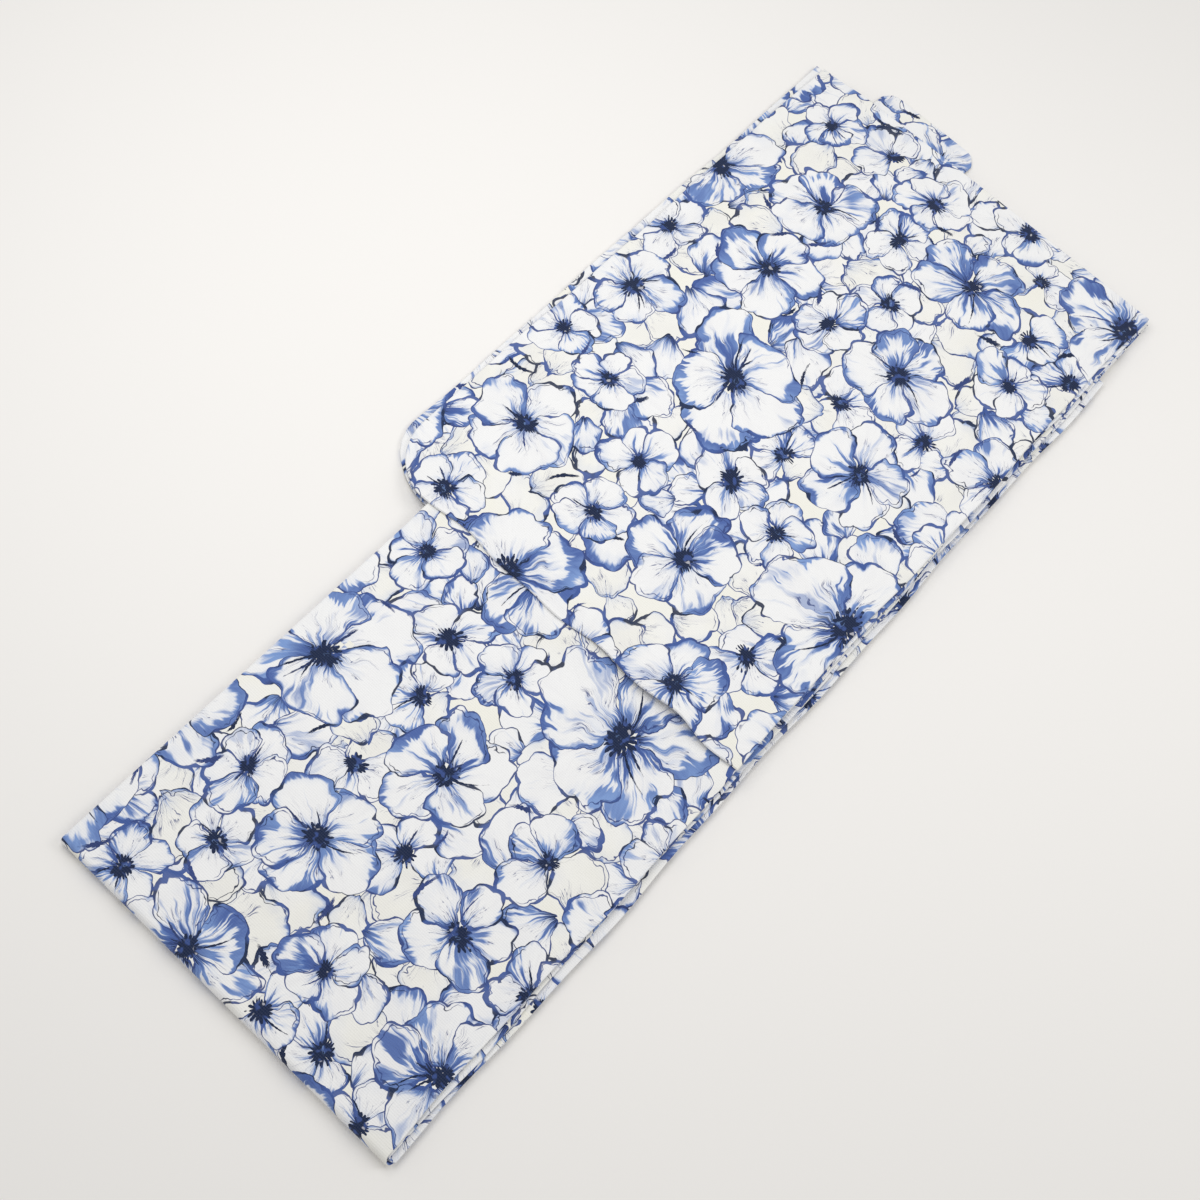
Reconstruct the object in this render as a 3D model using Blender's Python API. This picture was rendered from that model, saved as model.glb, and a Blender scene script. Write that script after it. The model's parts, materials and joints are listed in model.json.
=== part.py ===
"""A cotton yukata robe folded flat and long, the way kimono are put away.

The robe lies on its right back. It is closed left over right, folded once across
at knee height, and its right sleeve is turned back over the upper half. The left
sleeve lies between the two halves. Every piece is a wall of cloth that follows
the fold, and the hidden fronts and overlap panels share one plate with layered
edges.

Garment coordinates: x is 0 at the side seam's fold and falls towards the centre
back seam, y is 0 at the shoulder line and falls towards the knee fold. The whole
model is then moved so that the middle of its box stands on the origin.
"""

import math

import bmesh
import bpy
from mathutils import Vector

# The cut, in metres
SLEEVE_LENGTH = 0.510
SLEEVE_WIDTH = 0.332
BACK_WIDTH = 0.284
FOLDED_LENGTH = 0.842
HEM_SHORT = 0.070
SLEEVE_CORNER = 0.044
COLLAR_WIDTH = 0.094
COLLAR_REACH = 0.026

# The layers, in metres
WALL = 0.0010
GAP = 0.0003
SLEEVE_GAP = 0.0006
SLEEVE_STACK = 2 * WALL + SLEEVE_GAP
SLIT = 0.0008
FRONTS = 0.0022
FRONTS_AT_CENTRE = 0.0010
EDGE_ROLL = 0.0016

# How the layers step out from each other at the side seam, and the left sleeve at its cuff
LOWER_STEP = 0.0050
LEFT_BODY_STEP = 0.0022
LEFT_SLEEVE_OUT = 0.0060
RIGHT_SLEEVE_IN = 0.0015

# Where the cloth sinks to what lies below it
FRONT_EDGE = 0.215
FRONT_SLOPE = 0.065
OVERHANG_SLOPE = 0.040
HEM_SLOPE = 0.052
SLEEVE_SLOPE = 0.026

# The soft rise of the turned back sleeve's lower edge
RISE = 0.0042
RISE_PLACE = 0.075
RISE_SPREAD = 0.050
RISE_DEPTH = 0.075

ROLL_ANGLES = (25.0, 50.0, 75.0)
KNEE_STEPS = 8
ROUND_STEPS = 4
OVERHANG_SHARES = (0.0, 0.30, 0.55, 0.66, 0.77, 0.88, 1.0)
CLOTH_COLOR = (0.86, 0.88, 0.93, 1.0)
PRINT_COLOR = (0.40, 0.48, 0.72, 1.0)


def ease(t):
    """A smooth step from 0 to 1."""
    t = min(1.0, max(0.0, t))
    return t * t * (3.0 - 2.0 * t)


def fronts_at(x):
    """Thickness of the hidden fronts, which thin out short of the centre back."""
    over = ease((-x - FRONT_EDGE) / FRONT_SLOPE)
    return FRONTS + (FRONTS_AT_CENTRE - FRONTS) * over


def half_at(x):
    """Thickness of one half of the folded robe: right body, fronts, left body."""
    return 2 * WALL + 2 * GAP + fronts_at(x)


def past_support(x, y):
    """0 where the lower half carries the cloth, 1 where it has come down to the floor."""
    past_hem = ease((y + HEM_SHORT) / HEM_SLOPE)
    past_centre = ease((-x - BACK_WIDTH) / OVERHANG_SLOPE)
    return 1.0 - (1.0 - past_hem) * (1.0 - past_centre)


def left_sleeve_floor(x, y):
    """Height of the left sleeve's lower face."""
    return (half_at(x) + GAP) * (1.0 - past_support(x, y))


def upper_floor(x, y):
    """Height of the upper half's lower face."""
    on_sleeve = ease((y + SLEEVE_LENGTH + SLEEVE_SLOPE) / (SLEEVE_SLOPE - 0.001))
    below = SLEEVE_STACK * on_sleeve + (SLIT - 2 * GAP) * (1.0 - on_sleeve)
    return left_sleeve_floor(x, y) + below + GAP


def right_sleeve_floor(x, y):
    """Height of the right sleeve's lower face, with its edge's soft rise."""
    past_centre = ease((-x - BACK_WIDTH) / OVERHANG_SLOPE)
    along = math.exp(-(((x + RISE_PLACE) / RISE_SPREAD) ** 2))
    near_hem = ease(1.0 - (y + SLEEVE_LENGTH) / RISE_DEPTH)
    rise = RISE * along * near_hem
    return upper_floor(x, y) + (half_at(x) + GAP) * (1.0 - past_centre) + rise


def on_fold(x, place, depth):
    """A point of the folded body at a depth below its outer face.

    The place is ("upper", y), ("knee", degrees) or ("lower", y).
    """
    kind, value = place
    radius = half_at(x) + SLIT / 2
    centre = radius - FOLDED_LENGTH
    if kind == "upper":
        turned, y, z = 0.0, value, upper_floor(x, value) + half_at(x) - depth
    elif kind == "lower":
        turned, y, z = 1.0, value, depth
    else:
        angle = math.radians(value)
        turned = (1.0 - math.cos(angle)) / 2
        y = centre - (radius - depth) * math.sin(angle)
        z = radius + (radius - depth) * math.cos(angle)
    step = LOWER_STEP * turned * (x + BACK_WIDTH) / BACK_WIDTH
    return Vector((x + step, y, z))


def spread(start, end, steps):
    """Even values from start to end, both included."""
    return [start + (end - start) * i / steps for i in range(steps + 1)]


def body_columns(side):
    """Places across the body for the flat of a panel, whose side seam is at side."""
    inner = (-0.2720, -0.2590, -0.2450, -0.2250, -0.1750, -0.1100, -0.0450)
    return [EDGE_ROLL - BACK_WIDTH, *inner, side - EDGE_ROLL]


def upper_places(first):
    """Places along the upper half, from the first one to just before the knee."""
    hem = [-HEM_SHORT + HEM_SLOPE * t for t in (1.0, 0.75, 0.5, 0.25, 0.0)]
    sleeve = [-SLEEVE_LENGTH - SLEEVE_SLOPE * t for t in (0.04, 0.3, 0.52, 0.74, 1.0)]
    plain = (-0.20, -0.35, -0.47)
    return [("upper", y) for y in (first, *hem, *plain, *sleeve, -0.68, -0.82)]


def lower_places(last):
    """Places along the knee fold and the lower half, up to its hem."""
    knee = [("knee", a) for a in spread(0.0, 180.0, KNEE_STEPS)]
    flat = [("lower", y) for y in (-0.82, -0.60, -0.35, -0.15, last)]
    return knee + flat


def finish(name, bm, color, roughness):
    """Turn a bmesh into a named object with its own material."""
    bmesh.ops.triangulate(bm, faces=bm.faces[:])
    bmesh.ops.recalc_face_normals(bm, faces=bm.faces[:])
    mesh = bpy.data.meshes.new(name)
    bm.to_mesh(mesh)
    bm.free()
    material = bpy.data.materials.new(name + "_cloth")
    material.use_nodes = True
    shader = material.node_tree.nodes["Principled BSDF"]
    shader.inputs["Base Color"].default_value = color
    shader.inputs["Roughness"].default_value = roughness
    shader.inputs["Metallic"].default_value = 0.0
    mesh.materials.append(material)
    piece = bpy.data.objects.new(name, mesh)
    PARTS.objects.link(piece)
    mesh.shade_smooth()
    mesh.set_sharp_from_angle(angle=math.radians(40))
    return piece


def loft(name, rings, caps, color=CLOTH_COLOR, roughness=0.85):
    """Join rings of points in order and close both ends with the given faces.

    Each face in caps lists places in the ring.
    """
    bm = bmesh.new()
    rows = [[bm.verts.new(p) for p in ring] for ring in rings]
    count = len(rings[0])
    for here, there in zip(rows, rows[1:]):
        for i in range(count):
            j = (i + 1) % count
            bm.faces.new((here[i], here[j], there[j], there[i]))
    for row in (rows[0], rows[-1]):
        for face in caps:
            bm.faces.new([row[i] for i in face])
    return finish(name, bm, color, roughness)


def wall(name, outer, inner, **look):
    """A wall of cloth between two grids of points that have the same size."""
    rings = [a + b[::-1] for a, b in zip(outer, inner)]
    columns = len(outer[0])
    last = 2 * columns - 1
    caps = [(i, i + 1, last - i - 1, last - i) for i in range(columns - 1)]
    return loft(name, rings, caps, **look)


def rolled_section(side, into):
    """Across a body panel whose two long edges roll in: pairs of (x, depth).

    The pairs are at a distance into from the panel's outer face.
    """
    radius = EDGE_ROLL - into
    flat = body_columns(side)
    angles = [math.radians(a) for a in ROLL_ANGLES]
    centre = [
        (flat[0] - radius * math.sin(a), EDGE_ROLL - radius * math.cos(a))
        for a in reversed(angles)
    ]
    side_seam = [
        (flat[-1] + radius * math.sin(a), EDGE_ROLL - radius * math.cos(a))
        for a in angles
    ]
    return centre + [(x, into) for x in flat] + side_seam


def body_panel(name, side, inside, **look):
    """One body length, rolled in at its seams and over the shoulder.

    An inside panel faces the fold's slit and rolls the other way.
    """
    shoulder = -EDGE_ROLL
    places = upper_places(shoulder)[1:] + lower_places(-HEM_SHORT)
    grids = []
    for into in (0.0, WALL):
        section = rolled_section(side, into)
        rows = []
        for angle in (*reversed(ROLL_ANGLES), 0.0):
            a = math.radians(angle)
            row = []
            for x, d in section:
                y = shoulder + (EDGE_ROLL - d) * math.sin(a)
                depth = EDGE_ROLL - (EDGE_ROLL - d) * math.cos(a)
                row.append(on_fold(x, ("upper", y), half_at(x) - depth if inside else depth))
            rows.append(row)
        for place in places:
            rows.append(
                [on_fold(x, place, half_at(x) - d if inside else d) for x, d in section]
            )
        grids.append(rows)
    return wall(name, grids[0], grids[1], **look)


def hidden_layers():
    """The fronts and overlap panels: one plate round the fold, layered at its edges."""
    top_depth = WALL + GAP
    clear = EDGE_ROLL + GAP
    flat = body_columns(LEFT_BODY_STEP / 2)[1:-1]
    flat = [clear - BACK_WIDTH, *flat, -clear]
    places = upper_places(-clear)[1:]
    places = [("upper", -clear), *places, *lower_places(-HEM_SHORT - 0.004)]
    groove = 0.0016
    rings = []
    for place in places:
        upper = [on_fold(x, place, top_depth) for x in flat]
        lower = [on_fold(x, place, top_depth + fronts_at(x)) for x in flat]
        side = []
        for share, back in ((0.25, 0.0), (0.33, groove), (0.50, 0.0), (0.67, groove), (0.75, 0.0)):
            x = flat[-1] - back
            side.append(on_fold(x, place, top_depth + share * fronts_at(x)))
        x = flat[0] + groove
        centre = [on_fold(x, place, top_depth + 0.5 * fronts_at(x))]
        rings.append(upper + side + lower[::-1] + centre)
    columns = len(flat)
    last = 2 * columns + 4
    caps = [(i, i + 1, last - i - 1, last - i) for i in range(columns - 1)]
    caps.append(tuple(range(columns - 1, columns + 6)))
    caps.append((0, last, last + 1))
    return loft("hidden_fronts", rings, caps)


def sleeve(name, floor, cuff, armhole, rows, **look):
    """A sleeve lying flat: one length turned at the shoulder, with a rounded corner.

    It is an upper and a lower wall that join at the shoulder line.
    """
    corner = SLEEVE_CORNER
    flat_rows = []
    for angle in spread(90.0, 0.0, ROUND_STEPS):
        a = math.radians(angle)
        y = -SLEEVE_LENGTH + corner * (1.0 - math.sin(a))
        flat_rows.append((y, cuff + corner * (1.0 - math.cos(a))))
    top = flat_rows[-1][0] + 0.004
    flat_rows += [(y, cuff) for y in rows if y > top]
    radius = SLEEVE_STACK / 2
    fold = -radius

    def across(start):
        past = [start + (-BACK_WIDTH - start) * share for share in OVERHANG_SHARES]
        return past + body_columns(armhole)

    def point(x, y, height):
        return Vector((x, y, floor(x, y) + height))

    grids = []
    for into in (0.0, WALL):
        upper = [
            [point(x, y, SLEEVE_STACK - into) for x in across(start)]
            for y, start in flat_rows
        ]
        turn = []
        for angle in spread(0.0, 180.0, 6):
            a = math.radians(angle)
            reach = (radius - into) * math.sin(a)
            height = radius + (radius - into) * math.cos(a)
            turn.append([point(x, fold + reach, height) for x in across(cuff)])
        lower = [
            [point(x, y, into) for x in across(start)]
            for y, start in reversed(flat_rows)
        ]
        grids.append(upper + turn + lower)
    return wall(name, grids[0], grids[1], **look)


def collar():
    """The collar's folded band past the shoulder line, next to the centre back."""
    start = -BACK_WIDTH + 0.002
    end = start + COLLAR_WIDTH
    stack = SLEEVE_STACK
    radius = stack / 2
    root = GAP
    tip = COLLAR_REACH - radius
    columns = (0.0, 0.03, 0.10, 0.30, 0.5, 0.70, 0.90, 0.97, 1.0)
    rounding = (0.010, 0.004, 0.001, 0.0, 0.0, 0.0, 0.001, 0.004, 0.010)
    sewn_at = upper_floor(start, 0.0)

    def floor(y):
        return sewn_at * (1.0 - ease((y - root) / (tip - root)))

    grids = []
    for into in (0.0, WALL):
        rows = []
        for share in (0.0, 0.25, 0.5, 0.75):
            rows.append((share, stack - into, 0.0))
        for angle in spread(0.0, 180.0, 6):
            a = math.radians(angle)
            rows.append((1.0, radius + (radius - into) * math.cos(a), (radius - into) * math.sin(a)))
        for share in (0.75, 0.5, 0.25, 0.0):
            rows.append((share, into, 0.0))
        grid = []
        for share, height, reach in rows:
            row = []
            for c, cut in zip(columns, rounding):
                y = root + share * (tip - cut - root)
                row.append(Vector((start + c * (end - start), y + reach, floor(y) + height)))
            grid.append(row)
        grids.append(grid)
    return wall("collar", grids[0], grids[1])


def stand_on_origin(pieces):
    """Move all pieces so that the middle of their box stands on the origin."""
    corners = [v.co for piece in pieces for v in piece.data.vertices]
    low = Vector([min(c[i] for c in corners) for i in range(3)])
    high = Vector([max(c[i] for c in corners) for i in range(3)])
    shift = Vector(((low.x + high.x) / -2, (low.y + high.y) / -2, -low.z))
    for piece in pieces:
        for v in piece.data.vertices:
            v.co += shift


def main():
    along = [y for _, y in upper_places(-EDGE_ROLL)[1:9]]
    hem_wave = (-0.49, -0.475, -0.455, -0.43, -0.40)
    left_rows = sorted({*along, -0.30, -0.10})
    right_rows = sorted({*along, *hem_wave, -0.30, -0.10})
    pieces = [
        body_panel("right_body", 0.0, False, color=PRINT_COLOR),
        body_panel("left_body", LEFT_BODY_STEP, True),
        hidden_layers(),
        sleeve(
            "left_sleeve",
            left_sleeve_floor,
            -SLEEVE_WIDTH - LEFT_SLEEVE_OUT,
            LEFT_BODY_STEP,
            left_rows,
        ),
        sleeve(
            "right_sleeve",
            right_sleeve_floor,
            -SLEEVE_WIDTH,
            -RIGHT_SLEEVE_IN,
            right_rows,
            color=PRINT_COLOR,
        ),
        collar(),
    ]
    stand_on_origin(pieces)


for old in list(bpy.data.objects):
    bpy.data.objects.remove(old)
PARTS = bpy.data.collections.new("folded_yukata")
bpy.context.scene.collection.children.link(PARTS)
main()
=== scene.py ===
"""Looks of a cotton yukata robe that lies folded flat, its right sleeve turned back on top.

Every piece is a thin shell of cloth laid on the form of its solid. The flower print is
worked out from petals that are set out by rule on the bolt. Each face of the cloth
carries the petals that cross it, and the material draws them.
"""

import json
import math
import random
from types import SimpleNamespace

import bmesh
import bpy
import numpy as np
from mathutils import Matrix, Vector

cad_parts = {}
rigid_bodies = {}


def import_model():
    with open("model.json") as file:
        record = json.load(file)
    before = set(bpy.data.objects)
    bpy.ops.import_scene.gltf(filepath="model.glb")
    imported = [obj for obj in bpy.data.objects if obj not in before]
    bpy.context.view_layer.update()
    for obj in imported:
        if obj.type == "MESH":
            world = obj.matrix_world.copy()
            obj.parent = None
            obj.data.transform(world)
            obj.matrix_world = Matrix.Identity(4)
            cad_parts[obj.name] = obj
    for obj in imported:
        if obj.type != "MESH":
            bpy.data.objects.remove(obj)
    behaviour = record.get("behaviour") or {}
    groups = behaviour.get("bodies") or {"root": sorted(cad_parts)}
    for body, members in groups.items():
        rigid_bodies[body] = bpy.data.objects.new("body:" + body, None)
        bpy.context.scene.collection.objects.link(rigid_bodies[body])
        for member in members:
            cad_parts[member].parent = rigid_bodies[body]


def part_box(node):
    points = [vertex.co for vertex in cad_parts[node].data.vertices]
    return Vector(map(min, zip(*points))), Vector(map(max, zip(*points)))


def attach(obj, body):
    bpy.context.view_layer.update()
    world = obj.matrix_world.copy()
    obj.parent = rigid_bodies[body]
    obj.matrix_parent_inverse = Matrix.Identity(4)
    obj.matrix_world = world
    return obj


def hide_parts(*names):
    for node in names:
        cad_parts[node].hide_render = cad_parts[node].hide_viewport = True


bl_info = {
    "name": "Folded Yukata",
    "version": (1, 0, 0),
    "blender": (4, 5, 0),
    "location": "3D View > Sidebar > Yukata",
    "description": "Builds the printed cotton of a folded summer robe",
    "category": "Add Mesh",
}

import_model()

BODY = "root"
SLOT = "printed_cotton"
CLOTH_MAP = "cloth"

# The solids, in metres
WALL = 0.0010
GAP = 0.0003
SLEEVE_GAP = 0.0006
SLEEVE_STACK = 2 * WALL + SLEEVE_GAP
SLIT = 0.0008
FRONTS = 0.0022
FRONTS_AT_CENTRE = 0.0010
LOWER_STEP = 0.0050
LEFT_BODY_STEP = 0.0022
LEFT_SLEEVE_OUT = 0.0060
RIGHT_SLEEVE_IN = 0.0015
FRONT_EDGE = 0.215
FRONT_SLOPE = 0.065
OVERHANG_SLOPE = 0.040
HEM_SLOPE = 0.052
SLEEVE_SLOPE = 0.026
SLEEVE_CLEAR = 0.001
RISE = 0.0042
RISE_PLACE = 0.075
RISE_SPREAD = 0.050
RISE_DEPTH = 0.075

# The sleeve's lower edge: how far it is drawn in and lifted at one place, and how flat it
# is pressed. The open cuff's layers stand apart by twice CUFF_OPEN.
TUCK = 0.0040
TUCK_PLACE = 0.050
TUCK_SPREAD = 0.020
LIFT = 0.0022
PRESSED = 0.45
PRESSED_SPREAD = 0.009
HEM_SPREAD = 0.030
CUFF_OPEN = 0.0003

# The cloth's grids, and how far from an edge its creases begin, in metres
BODY_SPACING = 0.0048
SLEEVE_SPACING = 0.0046
HIDDEN_SPACING = 0.0080
BEND_STEPS = 15
BODY_EASE = 0.020
SLEEVE_EASE = 0.030
WELD = 0.000002
SHARP = math.radians(55)

# The overlap panels' grid, how far inside the shoulder and the hem they end, and how far
# below the front each one lies, in metres
OVERLAP_STEPS = {"across": 20, "upper": 90, "knee": 11, "lower": 84}
OVERLAP_IN = {"shoulder": 0.004, "hem": 0.002}
OVERLAP_DEPTHS = {"right": 0.00012, "left": 0.00056}

# The collar's sizes, in metres
COLLAR_START = 0.002
COLLAR_ACROSS = 0.0050
COLLAR_ALONG = 0.0035
COLLAR_CORNER = 0.010
COLLAR_IN = 0.0002

# Soft ridges and troughs in each part of the cloth that shows: x and y of the middle, the
# way they run in degrees from the +X side, and length, width and height in metres
CREASES = {
    "body": (
        (-0.150, -0.640, 80.0, 0.20, 0.016, 0.0009),
        (-0.060, -0.740, 20.0, 0.12, 0.012, -0.0007),
        (-0.225, -0.760, 110.0, 0.11, 0.013, 0.0008),
        (-0.090, -0.580, 150.0, 0.10, 0.010, 0.0007),
    ),
    "sleeve": (
        (-0.110, -0.240, 95.0, 0.30, 0.020, 0.0009),
        (-0.230, -0.330, 60.0, 0.16, 0.014, -0.0007),
        (-0.050, -0.400, 35.0, 0.13, 0.012, 0.0010),
        (-0.180, -0.110, 10.0, 0.14, 0.015, 0.0007),
    ),
}
CREASE_SWAY = 0.010

# Waves of an edge and of the sleeve's lower edge: height in metres, radians for each
# metre, and the share of the edge's own phase that they start with
EDGE_WAVES = ((0.0011, 23.0, 1.0), (0.0006, 61.0, 2.1))
HEM_WAVES = ((0.0015, 47.0, 1.0), (0.0011, 101.0, 2.0))

# The print's repeat on the bolt, and where each cut starts on it, in metres
REPEAT = (0.380, 0.560)
STARTS = {
    "right_body": (0.02, 0.05),
    "left_body": (0.21, 0.31),
    "right_overlap": (0.11, 0.02),
    "left_overlap": (0.30, 0.19),
    "right_sleeve": (0.34, 0.41),
    "left_sleeve": (0.07, 0.13),
    "collar": (0.05, 0.33),
    "collar_under": (0.25, 0.07),
}
FRONT_FROM_BACK = (0.17, 0.23)
UNDER_FROM_TOP = (0.19, 0.28)

# The print's flowers, from the largest: how many, their reach in metres, their petals,
# how blue they are, their dark threads, and their level, the highest on top
PRINT_SEED = 41
FLOWERS = (
    (4, 0.066, 5, 0.95, 4, 3.2),
    (12, 0.045, 5, 0.80, 3, 2.4),
    (16, 0.033, 5, 0.65, 2, 2.0),
    (12, 0.034, 3, 0.65, 1, 1.6),
)
TRIES = 70
CLOSENESS = 0.85

# The least and the most of what varies in the print. Each reach and each least size is
# in metres, and the other sizes are shares of a reach.
VARY = {
    "reach": (0.88, 1.10), "level": (0.0, 0.9), "flatness": (0.76, 1.0), "turn": (-0.20, 0.20),
    "length": (0.86, 1.10), "width": (0.40, 0.56), "tone": (-0.55, 0.25),
    "thread": (0.28, 0.66), "heart": (0.85, 1.15), "heart_width": (0.8, 1.1),
}
HEART = {"least": 0.0048, "share": 0.100}
THREAD_WIDTH = {"least": 0.00045, "share": 0.008}
LOOSE = {"reach": (0.030, 0.052), "width": (0.38, 0.50), "tones": (0.0, 0.0, 0.4, 0.8)}
COMMA = {"way": (-1.7, 1.7), "reach": (0.011, 0.024), "width": (0.07, 0.12)}
INK_MARKS = 60
BARE_SHARE = 0.030
BARE_GRID = 0.004
COVERED = 0.94

# A mark's middle and half its length, as shares of the length. It widens from its neck
# between two places, which are counted from its middle in halves of its length.
MIDDLE = 0.53
HALF = 0.47
NECK = 0.38
WIDEN = 1.3
WIDEN_FROM = -1.128
WIDEN_TO = -0.113
BEND = 0.55
INK_BEND = 2.5
STRAY = 0.38
FINE_STRAY = 0.06
SCALLOP = 0.11
MOST_MARKS = 9
FAR = 9.0

# The print's pen strokes, and the fade of its washes, in metres
PEN = {"thin": 0.00062, "more": 0.00240, "fade": 0.00032}
SECOND_PEN = {"in": 0.0020, "stray": 0.0046, "half": 0.00044, "fade": 0.0002}
RIM_FADE = 0.0042
HAZE_FADE = 0.014

# The scales of the noise, and the weave's pitch in metres
SLOW_NOISE = 52.0
FAST_NOISE = 190.0
BLOT_NOISE = 30.0
SLUB_NOISE = 900.0
RIB = 0.00155
THREAD = 0.00130
SLUB_SWAY = 2.2

# The stage: its floor in metres, what the floor and the room look like, and each lamp's
# place, the place it shines at, and its power in watts
FLOOR_HALF = 4.0
FLOOR_LEVEL = -0.0004
FLOOR_LOOKS = {"Base Color": (0.845, 0.828, 0.805, 1.0), "Roughness": 0.9, "Specular IOR Level": 0.1}
ROOM_LOOKS = {"Color": (1.0, 0.995, 0.985, 1.0), "Strength": 0.615}
LAMP_SIZE = 0.6
LAMPS = {
    "window": ((-0.36, 0.00, 0.86), (-0.06, 0.00, 0.0), 3.6),
    "side_window": ((0.73, 0.71, 1.04), (0.0, -0.2, 0.0), 4.4),
}


def number(name, default, description, unit="LENGTH"):
    return bpy.props.FloatProperty(
        name=name, default=default, description=description, unit=unit, precision=4
    )


def color(name, default, description):
    return bpy.props.FloatVectorProperty(
        name=name, default=default, description=description, subtype="COLOR", size=3, min=0.0, max=1.0
    )


class CutSizes(bpy.types.PropertyGroup):
    sleeve_length: number("Sleeve length", 0.510, "From the shoulder fold to the sleeve's lower edge")
    sleeve_width: number("Sleeve width", 0.332, "From the armhole to the cuff")
    sleeve_corner: number("Sleeve corner", 0.044, "Radius of the sleeve's rounded corner")
    cuff_opening: number("Cuff opening", 0.230, "Open length of the cuff, from the shoulder fold")
    back_width: number("Half back", 0.284, "From the side seam to the centre back seam")
    front_width: number("Front", 0.250, "From the side seam to the overlap panel")
    overlap_width: number("Overlap panel", 0.150, "Width of each overlap panel")
    folded_length: number("Folded length", 0.842, "From the shoulder to the knee fold")
    hem_short: number("Hem", 0.070, "How far the hem ends from the shoulder")
    collar_width: number("Collar", 0.094, "Half of the neck's width")
    collar_reach: number("Collar reach", 0.026, "How far the collar stands past the shoulder")
    thickness: number("Cloth", 0.00036, "Thickness of the cotton")
    roll: number("Fold radius", 0.0008, "Radius of a pressed fold")


class PrintColors(bpy.types.PropertyGroup):
    ground: color("Ground", (0.862, 0.862, 0.860), "White of the cotton")
    gap: color("Tint between petals", (0.850, 0.838, 0.765), "Cream tint between the flowers")
    shade: color("Shade", (0.690, 0.680, 0.715), "Grey of the streaks and water marks")
    pale: color("Pale wash", (0.205, 0.336, 0.645), "Thin blue wash")
    wash: color("Wash", (0.050, 0.108, 0.352), "Blue wash on the petals")
    ink: color("Ink", (0.032, 0.059, 0.210), "Outlines")
    navy: color("Navy", (0.001, 0.011, 0.050), "Hearts of the flowers")
    thread: color("Thread", (0.30, 0.31, 0.36), "Shade between the threads")


class ViewSizes(bpy.types.PropertyGroup):
    lens: bpy.props.FloatProperty(name="Lens", default=49.15, description="Focal length", unit="CAMERA")
    distance: number("Distance", 1.145, "From the camera to the place it looks at")
    azimuth: number("Azimuth", math.radians(25.42), "Round the robe, from its knee fold", "ROTATION")
    elevation: number("Elevation", math.radians(66.98), "Above the surface", "ROTATION")
    roll: number("Roll", math.radians(17.93), "The camera's own turn", "ROTATION")
    target_x: number("Target X", 0.0151, "The place the camera looks at")
    target_y: number("Target Y", -0.0682, "The place the camera looks at")


def ease(t):
    """A smooth step from 0 to 1."""
    t = np.clip(t, 0.0, 1.0)
    return t * t * (3.0 - 2.0 * t)


def hump(x, middle, spread):
    """A smooth hump, 1 at its middle."""
    return np.exp(-(((x - middle) / spread) ** 2))


def creases(part, x, y):
    """Height that the creases of one part of the cloth add at a place."""
    height = np.zeros(np.broadcast(x, y).shape)
    for at_x, at_y, way, long, wide, high in CREASES[part]:
        turn = math.radians(way)
        along = (x - at_x) * math.cos(turn) + (y - at_y) * math.sin(turn)
        across = (y - at_y) * math.cos(turn) - (x - at_x) * math.sin(turn)
        across = across + CREASE_SWAY * np.sin(along / long * 5.0 + at_x * 90.0)
        height = height + high * hump(along, 0.0, long / 2) * hump(across, 0.0, wide)
    return height


def drift(x, y, phase):
    """The cloth's own slow unevenness, about half a millimetre."""
    a = np.sin(x * 61.0 + y * 23.0 + phase) * np.sin(y * 47.0 - x * 19.0 + phase * 1.7)
    b = np.sin(x * 117.0 - y * 83.0 + phase * 2.3)
    return 0.00042 * a + 0.00016 * b


def wander(waves, s, phase):
    """How far an edge strays from straight along its length."""
    return sum(high * np.sin(s * pace + phase * share) for high, pace, share in waves)


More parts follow.
